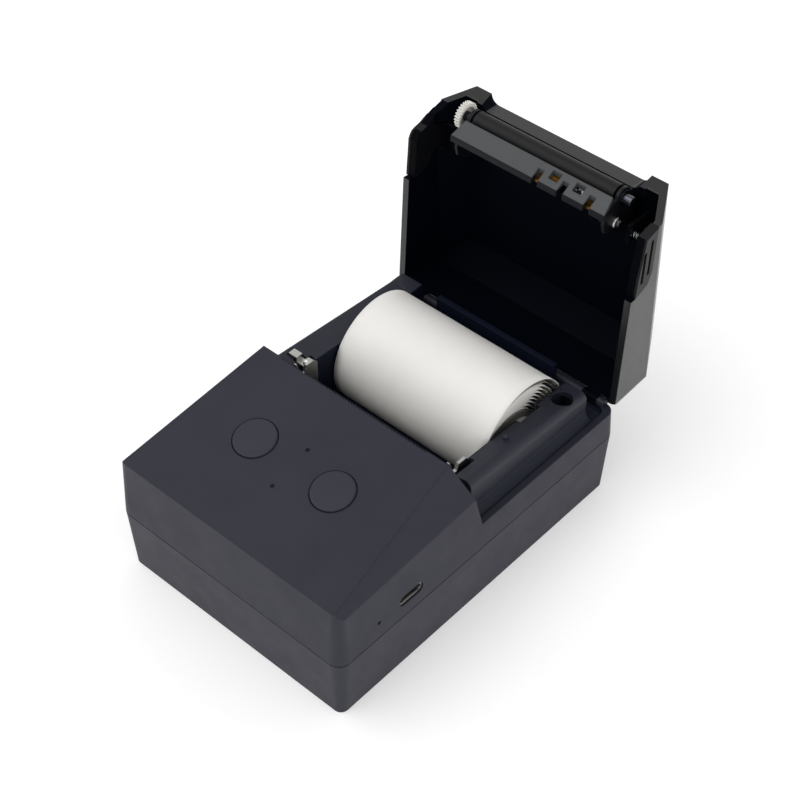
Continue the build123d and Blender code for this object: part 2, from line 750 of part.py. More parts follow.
def panel_button(x):
    """Round push-button with a retaining flange and a stem for its switch."""
    cap = Cylinder(BUTTON_R, 3.2)
    cap = fillet(cap.faces().sort_by(Axis.Z)[-1].edges(), 0.45)
    cap -= Pos(0, 0, -0.7) * Cylinder(BUTTON_R - 1.2, 1.9)
    button = on_panel(x, BUTTON_ALONG, cap, 1.2)
    flange = Cylinder(BUTTON_R + 1.0, 0.7) - Cylinder(BUTTON_R - 1.2, 0.7)
    button += on_panel(x, BUTTON_ALONG, flange, 2.85)
    return button + on_panel(x, BUTTON_ALONG, Cylinder(1.5, 2.7), 2.15)


# ---------------------------------------------------------------- lid (built closed)

def lid_front_trim():
    """Everything in front of the lid's front faces: ears, recess for the paper, and side edges."""
    ears = box((-BIG, BIG), (-BIG, EAR_FRONT_Y), (0, BIG))
    recess = RectangleRounded(2 * EAR_INNER_X, 40.0, 3.0)
    cut = Pos(0, RECESS_Y - 20.0, 30.0) * extrude(recess, 40.0)
    return ears + cut + front_of_cheeks(LID_GAP)


def release_cutout():
    """Outline of the release button's place in the lid's side wall, open to its front and foot."""
    points = [
        (-8.0, 40.5),
        (12.0, 40.5),
        (15.6, 39.0),
        (16.9, 35.6),
        (17.6, 32.7),
        (17.6, 28.0),
        (-8.0, 28.0),
    ]
    return side_profile(points, (36.0, 45.0))


def left_ear_slant():
    """Cut at the foot of the left ear, in line with the left release button's front edge."""
    points = [(-14.0, 40.0), (-0.6, 40.0), (-2.0, 42.8), (-3.9, 44.4), (-14.0, 44.4)]
    return side_profile(points, (-45.0, -36.0))


def release_relief():
    """Thinning inside the right wall and bevel, for the release button's neck."""
    thin = casing_block(1.0, INNER_CORNER_R) - beyond(lid_bevel(1), -1.0)
    return thin & box((35.0, 45.0), (2.4, 11.6), (40.0, 46.6))


def lid_shell():
    """Hinged lid: sloped top, bevelled sides and back, ears at the front and knuckles at the back."""
    outer = casing_block() - beyond(LID_TOP_PLANE) - beyond(lid_rear_bevel())
    inner = casing_block(WALL, INNER_CORNER_R)
    inner -= beyond(LID_TOP_PLANE, -WALL) + beyond(lid_rear_bevel(), -WALL)
    for side in (-1, 1):
        outer -= beyond(lid_bevel(side))
        inner -= beyond(lid_bevel(side), -WALL)
    outer &= box((-BIG, BIG), (-BIG, BIG), (RIM_Z + LID_GAP, BIG))
    outer -= lid_front_trim()
    lip_inner_y = RECESS_Y + LIP_THICKNESS
    hollow = inner & box((-BIG, BIG), (lip_inner_y, BIG), (0, BIG))
    hollow += inner & box((-BIG, BIG), (-BIG, BIG), (0, LIP_BOTTOM_Z))
    ear_hollow = box((EAR_INNER_X + 1.4, 40.0), (EAR_FRONT_Y + 1.4, 5.0), (40.0, BIG))
    hollow += inner & both_sides(ear_hollow)
    lid = outer - hollow
    lid -= both_sides(release_cutout()) + left_ear_slant()
    lid -= both_sides(release_relief())
    lid -= rod((-BIG / 2, BIG / 2), HINGE_Y, HINGE_Z, BARREL_R + 0.3)
    lid -= box((-BIG, BIG), (57.0, BIG), (0, HINGE_Z + BARREL_R + 0.3))
    for side in (-1, 1):
        span = sorted((side * LID_KNUCKLE_X[0], side * LID_KNUCKLE_X[1]))
        lid += rod(span, HINGE_Y, HINGE_Z, BARREL_R)
        lid += box(span, (56.2, 58.1), (HINGE_Z + 0.4, 33.6))
        lid -= rod(span, HINGE_Y, HINGE_Z, PIN_RUNNING_R)
    for x in (-18.0, 18.0):
        lid += post(x, 6.0, (50.6, 53.5), 2.6)
        lid -= post(x, 6.0, (50.0, 52.8), 1.0)
    return lid


def platen_bracket():
    """Cradle: two side plates round the roller's ends, joined by a top plate."""
    outline = [
        (-4.5, 39.6),
        (-2.2, 36.0),
        (-0.8, 36.0),
        (1.6, 35.6),
        (4.6, 36.4),
        (7.0, 40.0),
        (8.5, 45.0),
        (10.0, 50.6),
        (1.0, 50.6),
        (1.0, 48.6),
        (-4.9, 47.7),
    ]
    plate = side_profile(outline, BRACKET_X) + rod(BRACKET_X, PLATEN_Y, PLATEN_Z, ROLLER_R)
    plate -= rod(BRACKET_X, PLATEN_Y, PLATEN_Z, BUSHING_R)
    bracket = both_sides(plate) + box((-BRACKET_X[1], BRACKET_X[1]), (1.0, 10.0), (49.7, 50.6))
    for x in (-18.0, 18.0):
        bracket -= post(x, 6.0, (49.0, 51.0), 1.1)
    return bracket - rod(BRACKET_X, *GUIDE_SCREW, 1.1)


def bracket_screws():
    screws = []
    for x in (-18.0, 18.0):
        screws.append(post(x, 6.0, (48.5, 49.7), 1.9) + post(x, 6.0, (49.7, 52.8), 1.0))
    y, z = GUIDE_SCREW
    head = fillet(rod((27.0, 28.2), y, z, 1.8).faces().sort_by(Axis.X)[-1].edges(), 0.6)
    head -= box((27.75, 28.3), (y - 1.2, y + 1.2), (z - 0.3, z + 0.3))
    head -= box((27.75, 28.3), (y - 0.3, y + 0.3), (z - 1.2, z + 1.2))
    screws.append(head + rod((24.4, 27.0), y, z, 1.0))
    return Compound(children=screws)


def paper_guide():
    """Moulded bar under the roller that turns the paper up to the head, longer along its foot."""
    points = [(-5.9, 39.3), (-2.7, 34.2), (-0.8, 34.2), (-0.8, 36.0), (-2.2, 36.0), (-4.5, 39.6)]
    guide = side_profile(points, (-GUIDE_HALF[1], GUIDE_HALF[1]))
    lowest = guide.edges().filter_by(Axis.X).sort_by(Axis.Z)[:2]
    guide = fillet(lowest.sort_by(Axis.Y)[:1], 0.9)
    top, foot = GUIDE_HALF
    end = make_face(Polyline([(top, 39.7), (foot + 2, 39.7), (foot + 2, 34.0), (foot, 34.0)], close=True))
    upright = Plane(origin=(0, 0, 0), x_dir=(1, 0, 0), z_dir=(0, -1, 0))
    guide -= both_sides(extrude(upright * end, 20.0, both=True))
    for x in SLOT_X:
        guide -= box((x - 1.1, x + 1.1), (-8.0, 0.0), (33.0, 37.4))
    for x in WINDOW_X:
        guide -= box((x - 1.6, x + 1.6), (-8.0, -3.0), (36.2, 38.6))
    guide += box((22.8, 26.0), (-4.0, 1.8), (38.6, 40.0)) + box((22.8, 26.0), (1.2, 4.2), (39.3, 42.3))
    return guide - rod((24.4, 26.0), *GUIDE_SCREW, 1.0)


def sensor_board():
    return box((1.6, 22.4), (-1.7, -0.8), (36.0, 40.2))


def paper_sensor():
    return box((WINDOW_X[1] - 2.3, WINDOW_X[1] + 1.2), (-2.9, -1.7), (37.2, 39.6))


def gap_sensor():
    return box((WINDOW_X[0] - 2.3, WINDOW_X[0] + 1.2), (-2.9, -1.7), (37.2, 39.6))


def platen_bushings():
    bushings = []
    for x in ((-27.5, -25.6), (25.6, 27.5)):
        bushings.append(rod(x, PLATEN_Y, PLATEN_Z, BUSHING_R) - rod(x, PLATEN_Y, PLATEN_Z, BUSHING_BORE_R))
    return Compound(children=bushings)


def platen_shaft():
    return rod((-31.5, 30.2), PLATEN_Y, PLATEN_Z, SHAFT_R)


def platen_roller():
    span = (-ROLLER_HALF, ROLLER_HALF)
    return rod(span, PLATEN_Y, PLATEN_Z, ROLLER_R) - rod(span, PLATEN_Y, PLATEN_Z, SHAFT_R)


RELEASE_REAR = [(11.9, 40.3), (15.4, 38.8), (16.6, 35.4)]
RIGHT_RELEASE_FRONT = [(17.2, 32.9), (11.3, 33.2), (5.2, 34.0), (-2.0, 34.8), (-3.3, 40.3)]
LEFT_RELEASE_FRONT = [
    (17.2, 32.4),
    (9.5, 32.6),
    (4.5, 32.7),
    (3.1, 33.3),
    (2.3, 33.9),
    (1.8, 34.8),
    (1.0, 37.1),
    (-0.8, 40.3),
]
RIGHT_GROOVES = [(37.9, -0.3, 11.5), (35.1, 2.6, 13.2)]
LEFT_GROOVES = [(37.9, 2.2, 11.5), (35.1, 3.4, 13.2)]


def release_button(front, grooves):
    """Release button, as on the right: ribbed finger plate, with an arm over the riser to its spring."""
    plate = side_profile(RELEASE_REAR + front, (38.9, 45.0)) & casing_block(-0.15)
    for z, start, end in grooves:
        plate -= Pos(42.0, (start + end) / 2, z) * Box(1.6, end - start, 1.2)
    neck = [
        (38.9, 38.5),
        (39.9, 38.5),
        (39.9, 42.2),
        (37.6, 45.6),
        (34.4, 45.6),
        (34.4, 44.3),
        (38.2, 44.3),
        (38.9, 43.5),
    ]
    across = Plane(origin=(0, 11.0, 0), x_dir=(1, 0, 0), z_dir=(0, -1, 0))
    face = across * make_face(Polyline(neck, close=True))
    return plate + extrude(face, 8.0)


SPRING_Y = 7.0
SPRING_Z = 44.95


def release_spring():
    """Coil spring between the right release arm and its post under the lid's top."""
    coil = Helix(pitch=0.9, height=3.2, radius=0.95)
    section = Plane(origin=coil @ 0, z_dir=coil % 0) * Circle(0.16)
    spring = sweep(section, path=coil)
    return Pos(30.9, SPRING_Y, SPRING_Z) * (Rot(0, 90, 0) * spring)


def spring_seat():
    """Post under the lid's top that the right release spring pushes against."""
    return box((29.6, 30.7), (4.0, 10.0), (43.4, 52.6))


def opened(shape):
    """Turns a piece of the closed lid about the hinge pin to its resting place."""
    hinge = Axis((0, HINGE_Y, HINGE_Z), (1, 0, 0))
    return shape.rotate(hinge, -LID_OPEN_ANGLE)


FIXED_PARTS = {
    "base_shell": base_shell,
    "foot_pads": foot_pads,
    "housing_screws": housing_screws,
    "upper_housing": upper_housing,
    "hinge_pins": hinge_pins,
    "tear_bar": tear_bar,
    "paper_bay": paper_bay,
    "paper_roll": paper_roll,
    "paper_core": paper_core,
    "left_hook_plate": left_hook_plate,
    "right_hook_plate": right_hook_plate,
    "mechanism_frame": mechanism_frame,
    "thermal_head": thermal_head,
    "heat_sink": heat_sink,
    "head_springs": head_springs,
    "stepper_motor": stepper_motor,
    "motor_pinion": motor_pinion,
    "output_gear": output_gear,
    "gear_post": gear_post,
    "main_board": main_board,
    "board_chips": board_chips,
    "usb_socket": usb_socket,
    "side_light_pipe": side_light_pipe,
    "battery_cells": battery_cells,
    "button_board": button_board,
    "tact_switches": tact_switches,
    "light_pipes": light_pipes,
    "panel_board_posts": panel_board_posts,
}

LID_PARTS = {
    "platen_bracket": platen_bracket,
    "bracket_screws": bracket_screws,
    "paper_guide": paper_guide,
    "sensor_board": sensor_board,
    "paper_sensor": paper_sensor,
    "gap_sensor": gap_sensor,
    "platen_bushings": platen_bushings,
    "platen_shaft": platen_shaft,
    "platen_roller": platen_roller,
    "platen_gear": platen_gear,
}

for name, make in FIXED_PARTS.items():
    save(make(), name)

save(panel_button(-BUTTON_X), "feed_button")
save(panel_button(BUTTON_X), "power_button")

for name, make in LID_PARTS.items():
    save(opened(make()), name)

save(opened(lid_shell() + both_sides(spring_seat())), "lid_shell")
save(opened(release_button(RIGHT_RELEASE_FRONT, RIGHT_GROOVES)), "right_release_button")
left_button = mirror(release_button(LEFT_RELEASE_FRONT, LEFT_GROOVES), Plane.YZ)
save(opened(left_button), "left_release_button")
save(opened(release_spring()), "right_release_spring")
save(opened(mirror(release_spring(), Plane.YZ)), "left_release_spring")
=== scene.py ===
import math

import bmesh
import bpy
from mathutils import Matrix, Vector, noise


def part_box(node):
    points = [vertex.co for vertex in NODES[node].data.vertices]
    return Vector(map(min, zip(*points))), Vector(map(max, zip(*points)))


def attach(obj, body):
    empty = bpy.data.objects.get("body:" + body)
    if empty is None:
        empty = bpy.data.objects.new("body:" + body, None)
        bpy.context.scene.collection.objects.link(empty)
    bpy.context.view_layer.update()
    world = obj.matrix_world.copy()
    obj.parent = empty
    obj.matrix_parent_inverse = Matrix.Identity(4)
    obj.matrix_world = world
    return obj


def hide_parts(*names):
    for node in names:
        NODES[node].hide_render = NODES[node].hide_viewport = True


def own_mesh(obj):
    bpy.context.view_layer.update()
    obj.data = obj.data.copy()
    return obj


# A portable receipt printer standing open, with its paper roll in the bay.
# Everything is in metres, in the printer's own frame: +X right, +Y back, +Z up.

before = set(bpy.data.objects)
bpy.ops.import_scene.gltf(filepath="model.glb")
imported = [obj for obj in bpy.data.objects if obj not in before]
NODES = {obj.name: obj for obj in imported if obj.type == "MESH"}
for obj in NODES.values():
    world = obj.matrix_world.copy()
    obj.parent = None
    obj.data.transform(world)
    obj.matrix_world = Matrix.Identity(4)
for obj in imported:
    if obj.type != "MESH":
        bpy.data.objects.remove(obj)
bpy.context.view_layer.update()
MM = 0.001


# ------------------------------------------------------------------ materials

def srgb(r, g, b):
    """A display colour from 0 to 255, as the linear colour that shaders take."""
    channels = [c / 255 for c in (r, g, b)]
    linear = [c / 12.92 if c <= 0.04045 else ((c + 0.055) / 1.055) ** 2.4 for c in channels]
    return (*linear, 1.0)


def scaled(colour, factor, lift=0.0):
    """A linear colour made lighter or darker."""
    return (*(min(1.0, c * factor + lift) for c in colour[:3]), 1.0)


# Places of a Mix node's two inputs and its result, for each kind of data.
MIX_SOCKETS = {"RGBA": (6, 7, 2), "FLOAT": (2, 3, 0)}


def add_node(tree, kind, **inputs):
    """A shader node with some of its inputs set."""
    node = tree.nodes.new(kind)
    for key, value in inputs.items():
        node.inputs[key].default_value = value
    return node


class Finish:
    """A Principled material and the helpers that build its colour, roughness and bump."""

    def __init__(self, name):
        self.material = bpy.data.materials.new(name)
        self.material.use_nodes = True
        self.tree = self.material.node_tree
        self.shader = self.tree.nodes["Principled BSDF"]
        self.place = self.tree.nodes.new("ShaderNodeTexCoord").outputs["Object"]
        self.normal = None

    def set(self, **values):
        """Sets plain shader inputs by their short names."""
        names = {
            "roughness": "Roughness",
            "metallic": "Metallic",
            "coat": "Coat Weight",
            "coat_roughness": "Coat Roughness",
            "specular": "Specular IOR Level",
            "subsurface": "Subsurface Weight",
            "glow": "Emission Strength",
        }
        for key, value in values.items():
            self.shader.inputs[names[key]].default_value = value
        return self

    def noise(self, scale, detail=3.0, rough=0.5, stretch=(1, 1, 1)):
        """A noise pattern fixed to the object, from 0 to 1."""
        mapping = self.tree.nodes.new("ShaderNodeMapping")
        mapping.inputs["Scale"].default_value = stretch
        self.tree.links.new(self.place, mapping.inputs["Vector"])
        texture = add_node(self.tree, "ShaderNodeTexNoise", Scale=scale, Detail=detail, Roughness=rough)
        self.tree.links.new(mapping.outputs["Vector"], texture.inputs["Vector"])
        return texture.outputs["Fac"]

    def spread(self, value, low, high, from_low=0.3, from_high=0.7):
        """Stretches a pattern's middle range to run from low to high."""
        node = self.tree.nodes.new("ShaderNodeMapRange")
        self.tree.links.new(value, node.inputs["Value"])
        node.inputs["From Min"].default_value = from_low
        node.inputs["From Max"].default_value = from_high
        node.inputs["To Min"].default_value = low
        node.inputs["To Max"].default_value = high
        return node.outputs["Result"]

    def colour(self, first, second, mask, from_low=0.3, from_high=0.7):
        """A base colour that varies between two colours."""
        mix = self.tree.nodes.new("ShaderNodeMix")
        mix.data_type = "RGBA"
        mix.inputs["A"].default_value = first
        mix.inputs["B"].default_value = second
        self.tree.links.new(self.spread(mask, 0.0, 1.0, from_low, from_high), mix.inputs["Factor"])
        self.tree.links.new(mix.outputs["Result"], self.shader.inputs["Base Color"])
        return self

    def rough(self, mask, low, high):
        """A roughness that varies between two values."""
        self.tree.links.new(self.spread(mask, low, high), self.shader.inputs["Roughness"])
        return self

    def bump(self, height, strength, distance):
        """Fine relief that the mesh doesn't have."""
        node = add_node(self.tree, "ShaderNodeBump", Strength=strength, Distance=distance)
        self.tree.links.new(height, node.inputs["Height"])
        return self.chain(node)

    def soften(self, radius):
        """Rounds the look of sharp moulded edges."""
        node = add_node(self.tree, "ShaderNodeBevel", Radius=radius)
        node.samples = 6
        return self.chain(node)

    def chain(self, node):
        """Adds a node to the ones that already bend the surface's normal."""
        if self.normal:
            self.tree.links.new(self.normal, node.inputs["Normal"])
        self.normal = node.outputs["Normal"]
        self.tree.links.new(self.normal, self.shader.inputs["Normal"])
        return self

    def maths(self, operation, first, second=0.0):
        """A maths node on sockets or plain numbers."""
        node = self.tree.nodes.new("ShaderNodeMath")
        node.operation = operation
        for socket, value in zip(node.inputs, (first, second)):
            if isinstance(value, (int, float)):
                socket.default_value = value
            else:
                self.tree.links.new(value, socket)
        return node.outputs["Value"]

    def axes(self, output):
        """X, Y and Z of the object's own place ("Object") or facing direction ("Normal")."""
        node = self.tree.nodes.new("ShaderNodeSeparateXYZ")
        self.tree.links.new(self.place.node.outputs[output], node.inputs["Vector"])
        return node.outputs["X"], node.outputs["Y"], node.outputs["Z"]

    def shade(self, mask, colour, roughness, specular):
        """A second finish where the mask is 1, in most uses painted shade: its colour, roughness and
        how much it reflects.
        """
        self.mix_in(mask, "Base Color", colour)
        self.mix_in(mask, "Roughness", roughness)
        self.mix_in(mask, "Specular IOR Level", specular)
        return self

    def mix_in(self, mask, name, value):
        """Blends what feeds a shader input with a new colour or number, by the mask."""
        socket = self.shader.inputs[name]
        mix = self.tree.nodes.new("ShaderNodeMix")
        mix.data_type = "RGBA" if isinstance(value, tuple) else "FLOAT"
        first, second, result = MIX_SOCKETS[mix.data_type]
        if socket.is_linked:
            self.tree.links.new(socket.links[0].from_socket, mix.inputs[first])
        else:
            mix.inputs[first].default_value = socket.default_value
        mix.inputs[second].default_value = value
        self.tree.links.new(mask, mix.inputs[0])
        self.tree.links.new(mix.outputs[result], socket)


# Limits of the painted shade on the lid, bay, guide and release mouldings, and of the sensor film's
# dark middle, in the printer's frame with the lid at rest.
LID_ROOF_Y = 62.5 * MM
LID_BACK_Z = 72.0 * MM
BAY_INNER_X = 29.3 * MM
BAY_REAR_Y = 54.2 * MM
BAY_SHADE_Z = 32.5 * MM
GUIDE_FOOT_Z = 91.1 * MM
RELEASE_RIM_X = 41.3 * MM
SENSOR_GAP_X = 12.0 * MM
SENSOR_GAP_HALF = 2.0 * MM
BAY_SHADE_SHARE = 0.6
FINE_EDGE = 0.1 * MM

# A face's direction along one axis, from -1 to 1, past which it takes the painted shade.
LID_FACING_MIDDLE = -0.3
LID_FACING_FRONT = -0.3
LID_FACING_UP = 0.2
RELEASE_FACING_FRONT = -0.4
ROLL_FACING_SIDE = 0.5


def moulded(name, colour, roughness, grain=0.25, coat=0.0, specular=0.3, edge=0.35 * MM):
    """Moulded plastic: fine spark-eroded grain, faint flow marks, soft edges and uneven gloss."""
    finish = Finish(name)
    finish.colour(colour, scaled(colour, 1.14, 0.0012), finish.noise(38, 4, 0.6))
    finish.rough(finish.noise(85, 5, 0.65), roughness - 0.05, roughness + 0.06)
    finish.soften(edge)
    finish.bump(finish.noise(5200, 3, 0.6), grain, 0.02 * MM)
    finish.bump(finish.noise(60, 2), 0.05, 0.1 * MM)
    return finish.set(coat=coat, coat_roughness=0.25, specular=specular)


def lid_plastic(name):
    """The lid's moulding: satin outside and dull inside, with painted shade that colours the inner
    faces nearly black.
    """
    finish = moulded(name, srgb(16, 17, 19), 0.32, grain=0.1, coat=0.16, specular=0.45)
    x, y, z = finish.axes("Object")
    nx, ny, nz = finish.axes("Normal")
    inward = finish.maths("MULTIPLY", nx, finish.maths("SIGN", x))
    side = finish.maths("LESS_THAN", inward, LID_FACING_MIDDLE)
    forward = finish.maths("LESS_THAN", ny, LID_FACING_FRONT)
    roof = finish.maths("MULTIPLY", forward, finish.maths("GREATER_THAN", y, LID_ROOF_Y))
    upward = finish.maths("GREATER_THAN", nz, LID_FACING_UP)
    back = finish.maths("MULTIPLY", upward, finish.maths("LESS_THAN", z, LID_BACK_Z))
    inside = finish.maths("MAXIMUM", side, finish.maths("MAXIMUM", roof, back))
    finish.mix_in(inside, "Coat Weight", 0.0)
    # Painted shade: the inner faces of the lid take a near-black blue colour.
    return finish.shade(inside, srgb(3, 6, 14), 0.55, 0.03)


def bay_plastic(name):
    """The bay's moulding: satin on the risers, with painted shade that darkens it inside, at the back
    and low down.
    """
    finish = moulded(name, srgb(36, 38, 48), 0.45)
    x, y, z = finish.axes("Object")
    between = finish.maths("LESS_THAN", finish.maths("ABSOLUTE", x), BAY_INNER_X)
    inside = finish.maths("MAXIMUM", between, finish.maths("GREATER_THAN", y, BAY_REAR_Y))
    low = finish.maths("LESS_THAN", z, BAY_SHADE_Z)
    inside = finish.maths("MAXIMUM", inside, finish.maths("MULTIPLY", low, BAY_SHADE_SHARE))
    # Painted shade: dark navy inside the bay, at its back and, at part strength, low down.
    return finish.shade(inside, srgb(13, 19, 34), 0.5, 0.12)


def bar_plastic(name):
    """The paper guide's moulding: pale satin face, and a foot painted dark and duller as shade."""
    finish = moulded(name, srgb(64, 66, 68), 0.42, grain=0.15, edge=0.4 * MM)
    x, y, z = finish.axes("Object")
    foot = finish.maths("LESS_THAN", z, GUIDE_FOOT_Z)
    # Painted shade: the foot below GUIDE_FOOT_Z takes a dark colour.
    return finish.shade(foot, srgb(16, 19, 24), 0.5, 0.15)


def release_plastic(name):
    """The release buttons' moulding: dull, with painted shade that colours the foot black inside its
    outer edge.
    """
    finish = moulded(name, srgb(9, 10, 13), 0.45, grain=0.1, specular=0.2)
    x, y, z = finish.axes("Object")
    nx, ny, nz = finish.axes("Normal")
    within = finish.maths("LESS_THAN", finish.maths("ABSOLUTE", x), RELEASE_RIM_X)
    forward = finish.maths("LESS_THAN", ny, RELEASE_FACING_FRONT)
    foot = finish.maths("MULTIPLY", within, forward)
    # Painted shade: the front-facing foot inside the outer edge goes black.
    return finish.shade(foot, srgb(3, 4, 8), 0.6, 0.03)


def wound_ends(name):
    """Paper whose sideways-facing ends are painted grey as shade."""
    finish = Finish(name)
    nx, ny, nz = finish.axes("Normal")
    ends = finish.maths("GREATER_THAN", finish.maths("ABSOLUTE", nx), ROLL_FACING_SIDE)
    finish.colour(srgb(214, 212, 206), srgb(204, 202, 196), finish.noise(900, 3, 0.6, (0.1, 1, 1)))
    finish.rough(finish.noise(1500, 4, 0.6), 0.6, 0.75)
    # Painted shade: faces that face sideways take a grey colour.
    return finish.shade(ends, srgb(128, 127, 122), 0.8, 0.1)


def flex_circuit(name):
    """Amber film over copper on the sensor board, dark between its two sensors."""
    finish = brushed(name, srgb(150, 104, 42), 0.35, (6, 6, 6))
    x, y, z = finish.axes("Object")
    middle = finish.maths("COMPARE", x, SENSOR_GAP_X)
    middle.node.inputs[2].default_value = SENSOR_GAP_HALF
    return finish.shade(middle, srgb(14, 12, 12), 0.5, 0.2)


def speckled(name):
    """A black optical sensor with small bright bond pads."""
    finish = moulded(name, srgb(10, 10, 12), 0.25, specular=0.5, edge=FINE_EDGE)
    specks = finish.spread(finish.noise(1500, 1, 0.3), 0.0, 1.0, 0.6, 0.64)
    return finish.shade(specks, srgb(225, 225, 220), 0.2, 0.8)


def brushed(name, colour, roughness, stretch=(1, 40, 40)):
    """Rolled or turned metal: fine lines along the stretch axis and small cloudy stains."""
    finish = Finish(name)
    lines = finish.noise(900, 4, 0.7, stretch)
    finish.colour(colour, scaled(colour, 0.72), finish.noise(240, 4, 0.6))
    finish.rough(lines, roughness - 0.07, roughness + 0.1)
    finish.soften(0.12 * MM)
    finish.bump(lines, 0.12, 0.01 * MM)
    return finish.set(metallic=1.0)


def rubbery(name, colour, roughness):
    """Ground rubber: dull, with fine circumferential grinding marks and specks of dust."""
    finish = Finish(name)
    marks = finish.noise(2600, 3, 0.7, (6, 1, 1))
    dust = finish.noise(3200, 2, 0.5)
    finish.colour(colour, scaled(colour, 1.5, 0.01), dust, 0.55, 0.9)
    finish.rough(marks, roughness - 0.06, roughness + 0.06)
    finish.bump(marks, 0.25, 0.02 * MM)
    return finish.set(specular=0.25)


def paper_stock(name, colour):
    """Coated thermal paper: faint fibre mottling, soft long ripples and painted shade between the
    turns.
    """
    finish = Finish(name)
    fibres = finish.noise(1500, 6, 0.7)
    finish.colour(colour, scaled(colour, 0.955), finish.noise(55, 5, 0.65))
    # Painted shade: a per-turn attribute darkens the paper towards srgb(70, 68, 64) where the turns
    # shade each other.
    painted_shade = finish.tree.nodes.new("ShaderNodeAttribute")
    painted_shade.attribute_name = "painted_shade"
    finish.mix_in(painted_shade.outputs["Fac"], "Base Color", srgb(70, 68, 64))
    finish.rough(fibres, 0.58, 0.72)
    finish.bump(fibres, 0.1, 0.02 * MM)
    finish.bump(finish.noise(45, 2, 0.4, (0.5, 1, 1)), 0.18, 0.4 * MM)
    return finish.set(subsurface=0.04)


def solder_mask(name, colour):
    """Circuit board: glossy solder mask over faint copper tracks."""
    finish = Finish(name)
    tracks = finish.noise(420, 1, 0.2, (1, 0.15, 1))
    finish.colour(colour, scaled(colour, 1.5), tracks, 0.5, 0.54)
    finish.rough(tracks, 0.25, 0.38)
    finish.bump(tracks, 0.2, 0.04 * MM)
    return finish.set(coat=0.3)


FINISHES = {
    "casing": moulded("casing_plastic", srgb(34, 34, 46), 0.5, specular=0.26, edge=0.5 * MM),
    "lid": lid_plastic("lid_plastic"),
    "release": release_plastic("release_plastic"),
    "bay": bay_plastic("bay_plastic"),
    "button": moulded("button_plastic", srgb(35, 35, 47), 0.46),
    "guide": bar_plastic("guide_plastic"),
    "black": moulded("black_plastic", srgb(10, 11, 16), 0.45, specular=0.2),
    "sheet_steel": brushed("plated_steel", srgb(196, 196, 192), 0.28),
    "dark_steel": brushed("blackened_steel", srgb(44, 46, 54), 0.34),
    "screw_steel": brushed("nickel_steel", srgb(205, 205, 205), 0.22, (8, 8, 8)),
    "turned_steel": brushed("turned_steel", srgb(200, 200, 202), 0.2, (40, 4, 4)),
    "shaft_steel": brushed("shaft_steel", srgb(92, 95, 102), 0.26, (40, 4, 4)),
    "aluminium": brushed("extruded_aluminium", srgb(190, 192, 196), 0.35),
    "gold": brushed("gold_flash", srgb(222, 160, 70), 0.24, (6, 6, 6)),
    "flex": flex_circuit("sensor_film"),
    "sensor": speckled("sensor_die"),
    "rubber": rubbery("roller_rubber", srgb(10, 10, 12), 0.5),
    "foot_rubber": rubbery("foot_rubber", srgb(30, 30, 30), 0.75),
    "nylon": moulded("natural_nylon", srgb(212, 210, 204), 0.4, grain=0.1, edge=FINE_EDGE),
    "ceramic": moulded("head_ceramic", srgb(222, 220, 212), 0.25, grain=0.05),
    "board": solder_mask("board_mask", srgb(20, 84, 52)),
    "sleeve": moulded("battery_sleeve", srgb(24, 60, 130), 0.3, grain=0.05, coat=0.3),
    "smoked": moulded("smoked_pipe", srgb(5, 5, 7), 0.25, grain=0.02, specular=0.12, edge=FINE_EDGE),
    "paper": paper_stock("thermal_paper", srgb(243, 241, 237)),
    "paper_ends": wound_ends("wound_paper"),
    "core": moulded("core_plastic", srgb(190, 190, 186), 0.45),
}

MATERIALS = {key: finish.material for key, finish in FINISHES.items()}

NODES_BY_MATERIAL = {
    "casing": ("base_shell", "upper_housing"),
    "lid": ("lid_shell",),
    "release": ("left_release_button", "right_release_button"),
    "bay": ("paper_bay",),
    "button": ("feed_button", "power_button"),
    "guide": ("paper_guide",),
    "black": ("mechanism_frame", "board_chips", "tact_switches", "panel_board_posts", "platen_bracket"),
    "sheet_steel": ("left_hook_plate", "right_hook_plate", "stepper_motor", "usb_socket"),
    "dark_steel": ("tear_bar", "platen_bushings"),
    "screw_steel": ("housing_screws", "bracket_screws"),
    "turned_steel": (
        "hinge_pins",
        "head_springs",
        "gear_post",
        "left_release_spring",
        "right_release_spring",
    ),
    "shaft_steel": ("platen_shaft",),
    "aluminium": ("heat_sink",),
    "gold": ("gap_sensor", "motor_pinion"),
    "flex": ("sensor_board",),
    "sensor": ("paper_sensor",),
    "rubber": ("platen_roller",),
    "foot_rubber": ("foot_pads",),
    "nylon": ("platen_gear", "output_gear"),
    "ceramic": ("thermal_head",),
    "board": ("main_board", "button_board"),
    "sleeve": ("battery_cells",),
    "smoked": ("side_light_pipe", "light_pipes"),
    "paper": ("paper_roll",),
    "core": ("paper_core",),
}


def dress(node, key):
    """Gives a carried-over CAD node its finish."""
    materials = NODES[node].data.materials
    materials.clear()
    materials.append(MATERIALS[key])


for material_key, node_names in NODES_BY_MATERIAL.items():
    for node_name in node_names:
        dress(node_name, material_key)


# ------------------------------------------------------------------ mesh helpers

def new_piece(name, mesh, body, material, slot, *replaced):
    """A visible piece that rides on a body, takes its finish from a material key and stands for CAD
    nodes. The slot argument is not used.
    """
    obj = bpy.data.objects.new(name, mesh)
    bpy.context.scene.collection.objects.link(obj)
    mesh.materials.append(MATERIALS[material])
    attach(obj, body)
    if replaced:
        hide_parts(*replaced)
    return obj


def finished_mesh(bm, name, smooth=True):
    """Turns a bmesh into a mesh and frees it."""
    mesh = bpy.data.meshes.new(name)
    bm.to_mesh(mesh)
    bm.free()
    for face in mesh.polygons:
        face.use_smooth = smooth
    return mesh


def outward(angle):
    """Unit vector across the roll's axis: 0 points back, a quarter turn points up."""
    return Vector((0, math.cos(angle), math.sin(angle)))


def ramp(value, start, end):
    """0 before start, 1 after end and a straight slope between them."""
    return min(max((value - start) / (end - start), 0.0), 1.0)


# ------------------------------------------------------------------ paper roll

